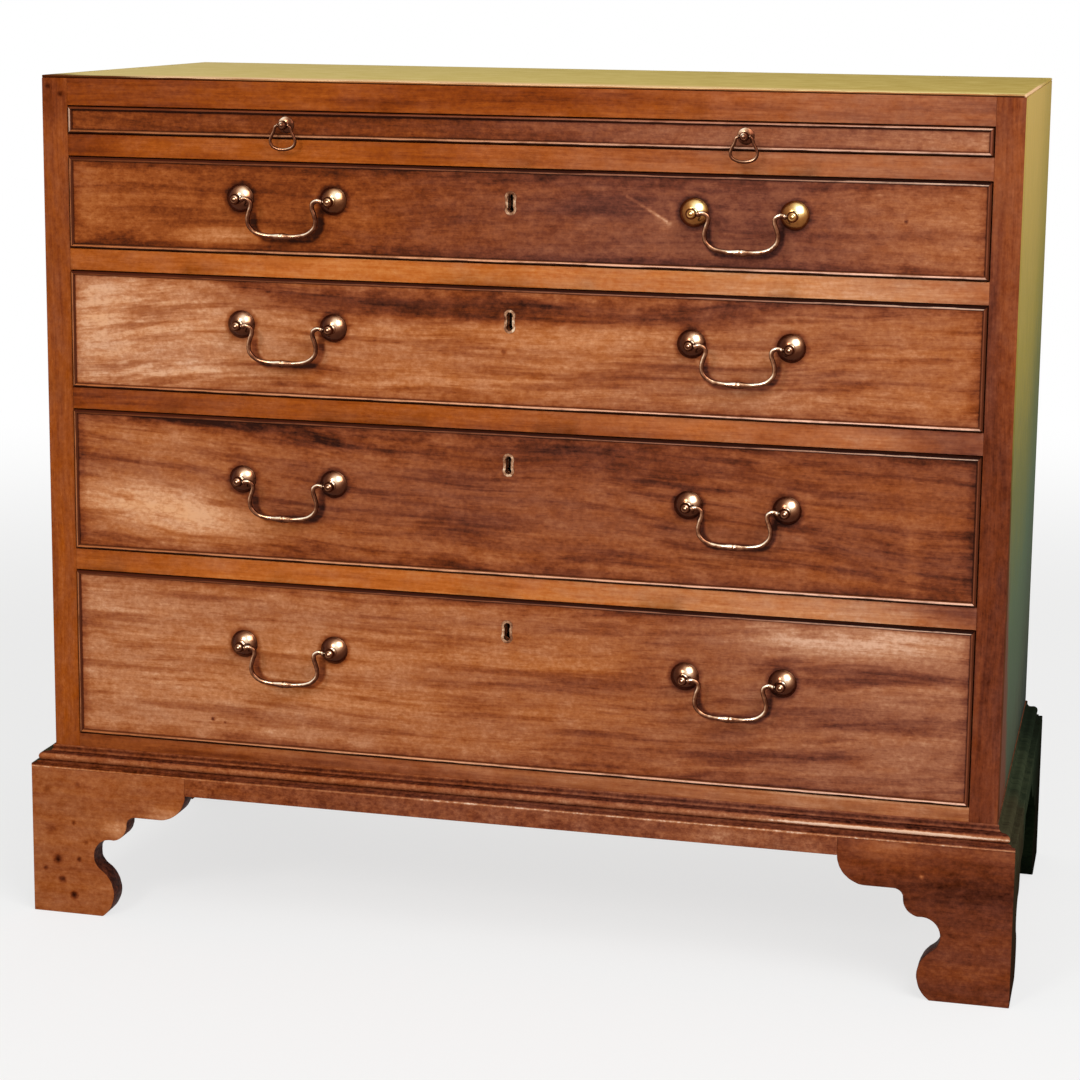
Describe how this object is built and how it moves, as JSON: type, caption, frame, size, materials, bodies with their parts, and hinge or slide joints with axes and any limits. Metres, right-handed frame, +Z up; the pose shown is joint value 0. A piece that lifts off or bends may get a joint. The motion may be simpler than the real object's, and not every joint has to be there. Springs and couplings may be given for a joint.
{
  "type": "bachelor's chest",
  "caption": "Small chest of graduated drawers on bracket feet, with a pull-out brushing slide under the top, cockbeaded fronts, swan-neck brass bails, ring pulls and drawer locks.",
  "frame": {"origin": "on the floor, under the middle of the whole chest with its handles", "axes": "+X runs across the chest to the right as one faces it, +Y runs from the drawer fronts to the back, +Z is up; drawers open towards -Y"},
  "size_m": [0.936, 0.436, 0.806],
  "materials": {
    "chest_wood": "old waxed polish, sun-faded to olive gold on the top and the sides",
    "frame_wood": "old waxed polish, orange brown",
    "drawer_wood": "old waxed polish, figured, with faded and darker patches",
    "oak": "bare, dry and aged",
    "brass": "cast and lacquered, tarnished in the hollows",
    "iron": "wrought, darkened with age"
  },
  "bodies": {
    "carcase": {"side_left": "chest_wood", "side_right": "chest_wood", "front_stiles": "frame_wood", "top_board": "chest_wood", "top_rail": "frame_wood", "drawer_rails": "frame_wood", "bottom_rail": "frame_wood", "dust_boards": "oak", "drawer_runners": "oak", "drawer_stops": "oak", "bottom_board": "oak", "back_boards": "oak", "base_moulding": "chest_wood", "plinth_strips": "chest_wood", "foot_front_left": "chest_wood", "foot_front_right": "chest_wood", "foot_back_left": "chest_wood", "foot_back_right": "chest_wood"},
    "slide": {"slide_board": "chest_wood", "slide_front": "drawer_wood", "slide_cockbead": "frame_wood", "ring_posts": "brass"},
    "ring_left": {"ring_left": "brass"},
    "ring_right": {"ring_right": "brass"},
    "drawer_1": {"drawer_1_front": "drawer_wood", "drawer_1_box": "oak", "drawer_1_bottom": "oak", "drawer_1_cockbead": "frame_wood", "drawer_1_posts": "brass", "drawer_1_lock": "brass"},
    "drawer_1_bolt": {"drawer_1_bolt": "iron"},
    "drawer_1_bail_left": {"drawer_1_bail_left": "brass"},
    "drawer_1_bail_right": {"drawer_1_bail_right": "brass"},
    "drawer_2": {"drawer_2_front": "drawer_wood", "drawer_2_box": "oak", "drawer_2_bottom": "oak", "drawer_2_cockbead": "frame_wood", "drawer_2_posts": "brass", "drawer_2_lock": "brass"},
    "drawer_2_bolt": {"drawer_2_bolt": "iron"},
    "drawer_2_bail_left": {"drawer_2_bail_left": "brass"},
    "drawer_2_bail_right": {"drawer_2_bail_right": "brass"},
    "drawer_3": {"drawer_3_front": "drawer_wood", "drawer_3_box": "oak", "drawer_3_bottom": "oak", "drawer_3_cockbead": "frame_wood", "drawer_3_posts": "brass", "drawer_3_lock": "brass"},
    "drawer_3_bolt": {"drawer_3_bolt": "iron"},
    "drawer_3_bail_left": {"drawer_3_bail_left": "brass"},
    "drawer_3_bail_right": {"drawer_3_bail_right": "brass"},
    "drawer_4": {"drawer_4_front": "drawer_wood", "drawer_4_box": "oak", "drawer_4_bottom": "oak", "drawer_4_cockbead": "frame_wood", "drawer_4_posts": "brass", "drawer_4_lock": "brass"},
    "drawer_4_bolt": {"drawer_4_bolt": "iron"},
    "drawer_4_bail_left": {"drawer_4_bail_left": "brass"},
    "drawer_4_bail_right": {"drawer_4_bail_right": "brass"}
  },
  "joints": [
    {"name": "slide_pull", "type": "slide", "parent": "carcase", "child": "slide", "axis": [0, -1, 0], "range_m": [0, 0.26]},
    {"name": "ring_left_swing", "type": "hinge", "parent": "slide", "child": "ring_left", "pos_m": [-0.211, -0.208, 0.76525], "axis": [-1, 0, 0], "range_deg": [-12, 100]},
    {"name": "ring_right_swing", "type": "hinge", "parent": "slide", "child": "ring_right", "pos_m": [0.211, -0.208, 0.76525], "axis": [-1, 0, 0], "range_deg": [-12, 100]},
    {"name": "drawer_1_pull", "type": "slide", "parent": "carcase", "child": "drawer_1", "axis": [0, -1, 0], "range_m": [0, 0.3]},
    {"name": "drawer_1_bolt_throw", "type": "slide", "parent": "drawer_1", "child": "drawer_1_bolt", "axis": [0, 0, 1], "range_m": [0, 0.008]},
    {"name": "drawer_1_bail_left_swing", "type": "hinge", "parent": "drawer_1", "child": "drawer_1_bail_left", "pos_m": [-0.211, -0.213, 0.6975], "axis": [-1, 0, 0], "range_deg": [-20, 115]},
    {"name": "drawer_1_bail_right_swing", "type": "hinge", "parent": "drawer_1", "child": "drawer_1_bail_right", "pos_m": [0.211, -0.213, 0.6975], "axis": [-1, 0, 0], "range_deg": [-20, 115]},
    {"name": "drawer_2_pull", "type": "slide", "parent": "carcase", "child": "drawer_2", "axis": [0, -1, 0], "range_m": [0, 0.3]},
    {"name": "drawer_2_bolt_throw", "type": "slide", "parent": "drawer_2", "child": "drawer_2_bolt", "axis": [0, 0, 1], "range_m": [0, 0.008]},
    {"name": "drawer_2_bail_left_swing", "type": "hinge", "parent": "drawer_2", "child": "drawer_2_bail_left", "pos_m": [-0.211, -0.213, 0.581], "axis": [-1, 0, 0], "range_deg": [-20, 115]},
    {"name": "drawer_2_bail_right_swing", "type": "hinge", "parent": "drawer_2", "child": "drawer_2_bail_right", "pos_m": [0.211, -0.213, 0.581], "axis": [-1, 0, 0], "range_deg": [-20, 115]},
    {"name": "drawer_3_pull", "type": "slide", "parent": "carcase", "child": "drawer_3", "axis": [0, -1, 0], "range_m": [0, 0.3]},
    {"name": "drawer_3_bolt_throw", "type": "slide", "parent": "drawer_3", "child": "drawer_3_bolt", "axis": [0, 0, 1], "range_m": [0, 0.008]},
    {"name": "drawer_3_bail_left_swing", "type": "hinge", "parent": "drawer_3", "child": "drawer_3_bail_left", "pos_m": [-0.211, -0.213, 0.4355], "axis": [-1, 0, 0], "range_deg": [-20, 115]},
    {"name": "drawer_3_bail_right_swing", "type": "hinge", "parent": "drawer_3", "child": "drawer_3_bail_right", "pos_m": [0.211, -0.213, 0.4355], "axis": [-1, 0, 0], "range_deg": [-20, 115]},
    {"name": "drawer_4_pull", "type": "slide", "parent": "carcase", "child": "drawer_4", "axis": [0, -1, 0], "range_m": [0, 0.3]},
    {"name": "drawer_4_bolt_throw", "type": "slide", "parent": "drawer_4", "child": "drawer_4_bolt", "axis": [0, 0, 1], "range_m": [0, 0.008]},
    {"name": "drawer_4_bail_left_swing", "type": "hinge", "parent": "drawer_4", "child": "drawer_4_bail_left", "pos_m": [-0.211, -0.213, 0.2775], "axis": [-1, 0, 0], "range_deg": [-20, 115]},
    {"name": "drawer_4_bail_right_swing", "type": "hinge", "parent": "drawer_4", "child": "drawer_4_bail_right", "pos_m": [0.211, -0.213, 0.2775], "axis": [-1, 0, 0], "range_deg": [-20, 115]}
  ]
}
